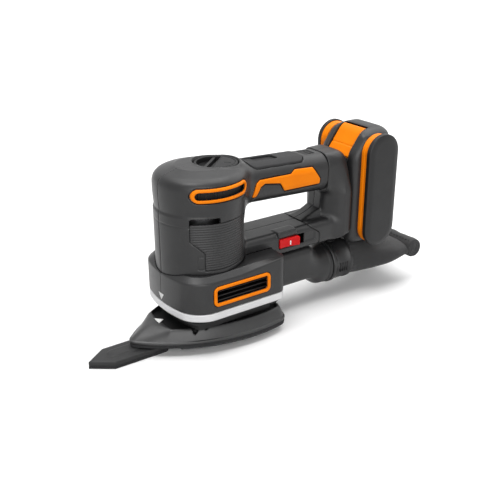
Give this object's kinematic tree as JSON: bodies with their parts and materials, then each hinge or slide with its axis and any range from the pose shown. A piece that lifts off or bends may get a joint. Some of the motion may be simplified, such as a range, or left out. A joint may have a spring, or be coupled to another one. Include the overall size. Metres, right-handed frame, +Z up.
{
  "type": "detail mouse sander",
  "caption": "Cordless detail sander: iron-shaped orbiting pad with a narrow finger pad, clamp lever, grip handle over an open window, slide-on battery and rear dust bag.",
  "frame": {"origin": "the motor axis on the plane of the sanding pad's sole", "axes": "+X towards the battery and dust bag, +Y to the tool's right, +Z up along the motor axis"},
  "size_m": [0.3715, 0.096, 0.1736],
  "materials": {
    "shell": "satin",
    "orange": "satin",
    "soft_grip": "matt",
    "black_plastic": "matt",
    "steel": "brushed",
    "magnet": "matt",
    "winding": "satin",
    "brass": "satin",
    "cast": "matt",
    "silver": "satin",
    "foam": "matt",
    "hook": "matt",
    "red": "satin",
    "cell": "satin",
    "board": "satin",
    "bag": "matt"
  },
  "bodies": {
    "housing": {"body_left": "shell", "body_right": "shell", "deck_left": "shell", "deck_right": "shell", "tower_left": "shell", "tower_right": "shell", "dust_duct": "shell", "grip_pad": "soft_grip", "grip_inlay_left": "orange", "grip_inlay_right": "orange", "cap_vent_left": "orange", "cap_vent_right": "orange", "deck_vent_left": "orange", "deck_vent_right": "orange", "side_panel_left": "black_plastic", "side_panel_right": "black_plastic", "motor_can": "steel", "motor_magnets": "magnet", "brush_plate": "black_plastic", "upper_bearing": "steel", "bearing_plate": "steel", "lower_bearing": "steel", "base_plate": "black_plastic", "rubber_legs": "soft_grip", "switch_module": "black_plastic", "control_board": "board", "speed_potentiometer": "black_plastic", "terminal_block": "black_plastic", "terminal_blades": "brass", "body_screws": "steel"},
    "rotor": {"motor_shaft": "steel", "armature": "winding", "commutator": "brass", "cooling_fan": "black_plastic", "eccentric": "steel"},
    "platen": {"platen": "cast", "orbit_bearing": "steel", "lever_pin": "steel", "band_rail": "silver"},
    "lever": {"clamp_lever": "silver"},
    "pad": {"pad_base": "shell", "pad_foam": "foam", "pad_hook_sheet": "hook", "finger_plate": "shell", "finger_foam": "foam"},
    "dial": {"speed_dial": "black_plastic"},
    "rocker": {"switch_rocker": "red"},
    "battery": {"battery_case": "shell", "battery_rim_left": "orange", "battery_rim_right": "orange", "battery_panel_left": "shell", "battery_panel_right": "shell", "battery_cells": "cell", "cell_frames": "black_plastic", "battery_board": "board"},
    "latch": {"battery_latch": "orange"},
    "bag": {"bag_collar": "black_plastic", "dust_bag": "bag"}
  },
  "joints": [
    {"name": "motor_spin", "type": "hinge", "parent": "housing", "child": "rotor", "pos_m": [0, 0, 0.06], "axis": [0, 0, 1], "continuous": true},
    {"name": "platen_orbit", "type": "hinge", "parent": "rotor", "child": "platen", "pos_m": [0.001, 0, 0.029], "axis": [0, 0, 1], "continuous": true},
    {"name": "clamp_lever_turn", "type": "hinge", "parent": "platen", "child": "lever", "pos_m": [-0.02301, 0.033, 0.0325], "axis": [0, 0, -1], "range_deg": [0, 95]},
    {"name": "pad_release", "type": "slide", "parent": "platen", "child": "pad", "axis": [0, 0, -1], "range_m": [0, 0.025]},
    {"name": "speed_dial_turn", "type": "hinge", "parent": "housing", "child": "dial", "pos_m": [0.017, 0, 0.152], "axis": [0, 0, 1], "range_deg": [0, 270]},
    {"name": "switch_rock", "type": "hinge", "parent": "housing", "child": "rocker", "pos_m": [0.08275, -0.0182, 0.07175], "axis": [0, 0, 1], "range_deg": [0, 12]},
    {"name": "battery_lift", "type": "slide", "parent": "housing", "child": "battery", "axis": [0, 0, 1], "range_m": [0, 0.12]},
    {"name": "battery_latch_press", "type": "hinge", "parent": "battery", "child": "latch", "pos_m": [0.16252, 0, 0.13786], "axis": [0, 1, 0], "range_deg": [0, 5], "stiffness_Nm_per_rad": 1},
    {"name": "bag_pull", "type": "slide", "parent": "housing", "child": "bag", "axis": [1, 0, 0], "range_m": [0, 0.04]}
  ],
  "couplings": [
    {"joint": "platen_orbit", "follows": "motor_spin", "ratio": -1}
  ]
}
